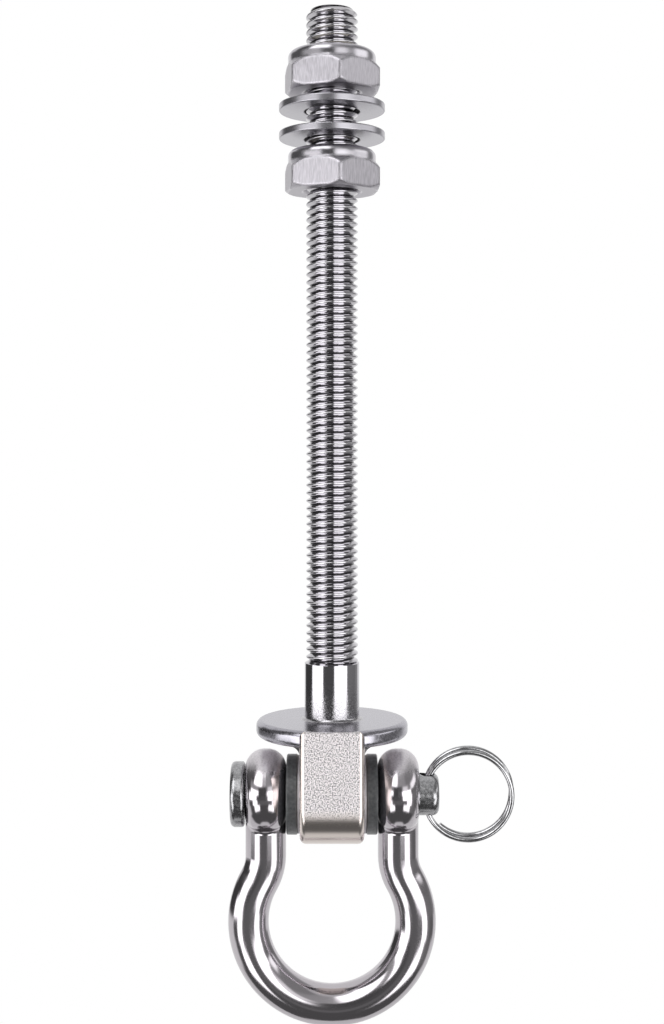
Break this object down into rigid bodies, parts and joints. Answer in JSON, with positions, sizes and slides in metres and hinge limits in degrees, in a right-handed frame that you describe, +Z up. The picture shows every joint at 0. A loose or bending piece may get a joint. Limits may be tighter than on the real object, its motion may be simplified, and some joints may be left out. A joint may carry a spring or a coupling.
{
  "type": "ceiling swing hook",
  "caption": "Swing hanger for a ceiling or beam: a flanged through bolt with lock nuts and washers, and a bow shackle that swings in its eye on a clevis pin kept by a split ring.",
  "frame": {"origin": "centre of the flange's top bearing face, on the bolt's axis", "axes": "+Z up the bolt into the ceiling, X along the clevis pin with the split ring at +X, -Y the front of the picture"},
  "size_m": [0.0551, 0.0294, 0.1954],
  "materials": {
    "bolt_steel": "cast stainless steel, blasted eye, bright thread",
    "nut_steel": "satin stainless steel",
    "insert_nylon": "plain nylon",
    "washer_steel": "stamped stainless steel",
    "bush_nylon": "matte dark nylon",
    "shackle_steel": "polished forged stainless steel",
    "pin_steel": "polished stainless steel",
    "ring_steel": "polished spring steel"
  },
  "bodies": {
    "bolt": {"swing_bolt": "bolt_steel", "left_bush": "bush_nylon", "right_bush": "bush_nylon"},
    "shackle": {"shackle": "shackle_steel"},
    "pin": {"clevis_pin": "pin_steel"},
    "ring": {"split_ring": "ring_steel"},
    "upper_nut_ring": {"upper_nut_insert": "insert_nylon"},
    "upper_nut": {"upper_nut": "nut_steel"},
    "lower_nut_ring": {"lower_nut_insert": "insert_nylon"},
    "lower_nut": {"lower_nut": "nut_steel"},
    "lower_washer": {"lower_washer": "washer_steel"},
    "upper_washer": {"upper_washer": "washer_steel"}
  },
  "joints": [
    {"name": "shackle_swing", "type": "hinge", "parent": "bolt", "child": "shackle", "pos_m": [0, 0, -0.01455], "axis": [1, 0, 0], "range_deg": [-125, 125]},
    {"name": "pin_turn", "type": "hinge", "parent": "shackle", "child": "pin", "pos_m": [0, 0, -0.01455], "axis": [1, 0, 0], "continuous": true},
    {"name": "ring_swing", "type": "hinge", "parent": "pin", "child": "ring", "pos_m": [0.0183, 0, -0.01455], "axis": [0, 0, 1], "range_deg": [-85, 85]},
    {"name": "upper_nut_travel", "type": "slide", "parent": "bolt", "child": "upper_nut_ring", "axis": [0, 0, 1], "range_m": [-0.00212, 0.01605]},
    {"name": "upper_nut_turn", "type": "hinge", "parent": "upper_nut_ring", "child": "upper_nut", "pos_m": [0, 0, 0.124], "axis": [0, 0, 1], "range_deg": [-504, 3840]},
    {"name": "lower_nut_travel", "type": "slide", "parent": "bolt", "child": "lower_nut_ring", "axis": [0, 0, 1], "range_m": [-0.0899, 0]},
    {"name": "lower_nut_turn", "type": "hinge", "parent": "lower_nut_ring", "child": "lower_nut", "pos_m": [0, 0, 0.105], "axis": [0, 0, 1], "range_deg": [-21564, 0]},
    {"name": "lower_washer_slide", "type": "slide", "parent": "lower_nut_ring", "child": "lower_washer", "axis": [0, 0, 1], "range_m": [-0.00212, 0]},
    {"name": "upper_washer_slide", "type": "slide", "parent": "lower_washer", "child": "upper_washer", "axis": [0, 0, 1], "range_m": [-0.00397, 0]}
  ],
  "couplings": [
    {"joint": "upper_nut_travel", "follows": "upper_nut_turn", "m_per_rad": 0.00023873},
    {"joint": "lower_nut_travel", "follows": "lower_nut_turn", "m_per_rad": 0.00023873}
  ]
}
